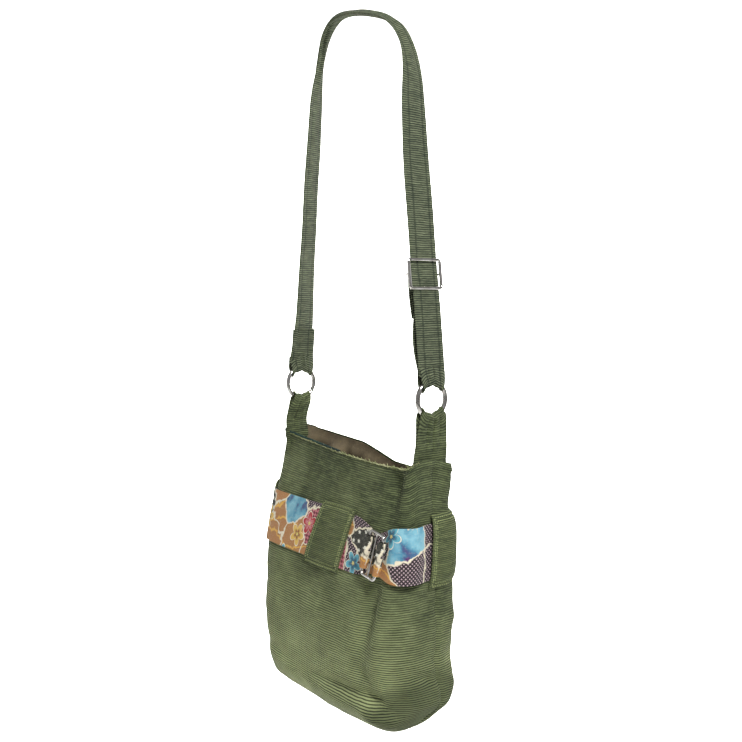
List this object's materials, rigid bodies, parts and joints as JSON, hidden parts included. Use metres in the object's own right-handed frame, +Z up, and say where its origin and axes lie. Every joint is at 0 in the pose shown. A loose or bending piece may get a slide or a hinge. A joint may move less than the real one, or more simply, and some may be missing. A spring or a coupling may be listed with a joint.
{
  "type": "hobo bag",
  "caption": "Soft ribbed-cloth hobo bag on a long adjustable shoulder strap, with O-rings and a printed belt threaded through belt loops.",
  "frame": {"origin": "point under the top of the strap where a shoulder carries it", "axes": "+Z up along the hanging bag, -Y out of the bag's front face, +X towards the ring below the strap adjuster"},
  "size_m": [0.2938, 0.1258, 0.8686],
  "materials": {
    "ribbed_cloth": "horizontal ribbed cotton weave",
    "lining_cloth": "plain woven lining",
    "printed_cloth": null,
    "nickel": "polished nickel plating"
  },
  "bodies": {
    "strap": {"strap_main": "ribbed_cloth", "strap_inner_ply": "ribbed_cloth", "strap_folded_end": "ribbed_cloth", "strap_loop_right": "ribbed_cloth", "strap_loop_left": "ribbed_cloth"},
    "ring_right": {"ring_right": "nickel"},
    "ring_left": {"ring_left": "nickel"},
    "strap_slider": {"strap_slider_frame": "nickel", "strap_slider_bar": "nickel", "strap_end_loop": "ribbed_cloth"},
    "bag": {"front_panel": "ribbed_cloth", "back_panel": "ribbed_cloth", "lining_front": "lining_cloth", "lining_back": "lining_cloth", "tab_right": "ribbed_cloth", "tab_left": "ribbed_cloth", "belt_band": "printed_cloth", "belt_loop_front": "ribbed_cloth", "belt_loop_back": "ribbed_cloth", "belt_loop_right": "ribbed_cloth", "belt_loop_left": "ribbed_cloth"},
    "belt_slider": {"belt_slider_frame": "nickel", "belt_slider_bar": "nickel", "belt_sewn_end": "printed_cloth", "belt_passing_fold": "printed_cloth"}
  },
  "joints": [
    {"name": "ring_right_turn", "type": "hinge", "parent": "strap", "child": "ring_right", "pos_m": [0.136, 0, -0.466], "axis": [1, 0, 0], "continuous": true},
    {"name": "ring_left_turn", "type": "hinge", "parent": "strap", "child": "ring_left", "pos_m": [-0.136, 0, -0.466], "axis": [1, 0, 0], "continuous": true},
    {"name": "bag_swing", "type": "hinge", "parent": "strap", "child": "bag", "pos_m": [0, 0, -0.466], "axis": [1, 0, 0], "range_deg": [-60, 60]},
    {"name": "strap_slider_slide", "type": "slide", "parent": "strap", "child": "strap_slider", "axis": [-0.1268, 0, 0.9919], "range_m": [-0.055, 0.12], "deforming": ["strap_inner_ply"]},
    {"name": "belt_slider_slide", "type": "slide", "parent": "bag", "child": "belt_slider", "axis": [1, 0, 0], "range_m": [-0.04, 0.004]}
  ]
}
